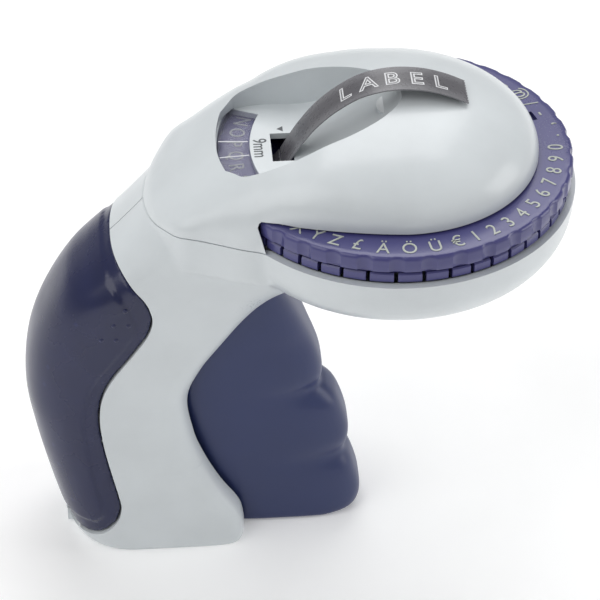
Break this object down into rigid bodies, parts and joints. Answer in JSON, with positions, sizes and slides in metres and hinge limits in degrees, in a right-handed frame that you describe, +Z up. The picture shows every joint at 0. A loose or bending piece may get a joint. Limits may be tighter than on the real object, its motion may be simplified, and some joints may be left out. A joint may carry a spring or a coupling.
{
  "type": "label maker",
  "caption": "Hand-held embossing label maker with a letter wheel, squeeze trigger and tape door.",
  "frame": {"origin": "on the floor, under the middle of the overall length, in the middle of the width", "axes": "+Z up along the handle, +X from the tape door towards the head, +Y to the left side"},
  "size_m": [0.1299, 0.0836, 0.1254],
  "materials": {
    "housing": "fine satin moulded grain",
    "wheel": "smooth, raised light lettering",
    "trigger": "fine satin",
    "door": "polished, faintly see-through",
    "lens": "polished, clear with a violet tint",
    "inner_plastic": "plain moulded",
    "tape": "smooth vinyl with white raised letters",
    "steel": "drawn and turned"
  },
  "bodies": {
    "housing": {"right_shell": "housing", "left_shell": "housing", "top_cover": "housing", "window_lens": "lens", "door_pin": "steel", "trigger_pin": "steel", "trigger_spring": "steel", "spring_seat": "inner_plastic", "lever_pin": "steel", "hammer_guide": "inner_plastic", "wheel_axle": "steel", "axle_screw": "steel", "index_spring": "steel", "feed_roller_pin": "steel", "pressure_roller_pin": "steel", "reel_axle": "steel", "tape_strip": "tape", "label_strip": "tape", "cutter_housing": "inner_plastic", "cutter_spring": "steel", "case_screw_1": "steel", "case_screw_2": "steel", "case_screw_3": "steel"},
    "trigger": {"trigger": "trigger"},
    "press_lever": {"press_lever": "steel"},
    "hammer": {"hammer": "steel"},
    "letter_wheel": {"upper_wheel_disc": "wheel", "lower_wheel_disc": "wheel"},
    "feed_roller": {"feed_roller": "inner_plastic"},
    "pressure_roller": {"pressure_roller": "inner_plastic"},
    "tape_reel": {"tape_reel": "inner_plastic", "tape_coil": "tape"},
    "cutter": {"cutter_blade": "steel"},
    "tape_door": {"rear_door": "door"}
  },
  "joints": [
    {"name": "trigger_squeeze", "type": "hinge", "parent": "housing", "child": "trigger", "pos_m": [-0.0124, 0, 0.073], "axis": [0, 1, 0], "range_deg": [0, 11], "stiffness_Nm_per_rad": 0.6, "springref_deg": -14.32, "deforming": ["trigger_spring"]},
    {"name": "press_lever_swing", "type": "hinge", "parent": "housing", "child": "press_lever", "pos_m": [-0.0289, 0, 0.0796], "axis": [0, 1, 0], "range_deg": [-6.6, 0]},
    {"name": "hammer_press", "type": "slide", "parent": "housing", "child": "hammer", "axis": [0, 0, 1], "range_m": [0, 0.0025]},
    {"name": "wheel_spin", "type": "hinge", "parent": "housing", "child": "letter_wheel", "pos_m": [0.0231, 0, 0.1055], "axis": [0, 0, 1], "continuous": true},
    {"name": "feed_roll", "type": "hinge", "parent": "housing", "child": "feed_roller", "pos_m": [-0.0293, 0, 0.0886], "axis": [0, 1, 0], "continuous": true},
    {"name": "pressure_roll", "type": "hinge", "parent": "housing", "child": "pressure_roller", "pos_m": [-0.0199, 0, 0.0886], "axis": [0, 1, 0], "continuous": true},
    {"name": "reel_turn", "type": "hinge", "parent": "housing", "child": "tape_reel", "pos_m": [-0.0434, 0, 0.045], "axis": [0, 1, 0], "continuous": true},
    {"name": "cutter_push", "type": "slide", "parent": "housing", "child": "cutter", "axis": [-1, 0, 0], "range_m": [0, 0.002], "stiffness_N_per_m": 60, "springref_m": -0.001, "deforming": ["cutter_spring"]},
    {"name": "door_swing", "type": "hinge", "parent": "housing", "child": "tape_door", "pos_m": [-0.0559, 0, 0.0054], "axis": [0, -1, 0], "range_deg": [0, 65]}
  ],
  "couplings": [
    {"joint": "press_lever_swing", "follows": "trigger_squeeze", "ratio": -0.5955},
    {"joint": "hammer_press", "follows": "trigger_squeeze", "m_per_rad": 0.0125},
    {"joint": "feed_roll", "follows": "reel_turn", "ratio": 3.26},
    {"joint": "pressure_roll", "follows": "reel_turn", "ratio": -4.6571}
  ]
}
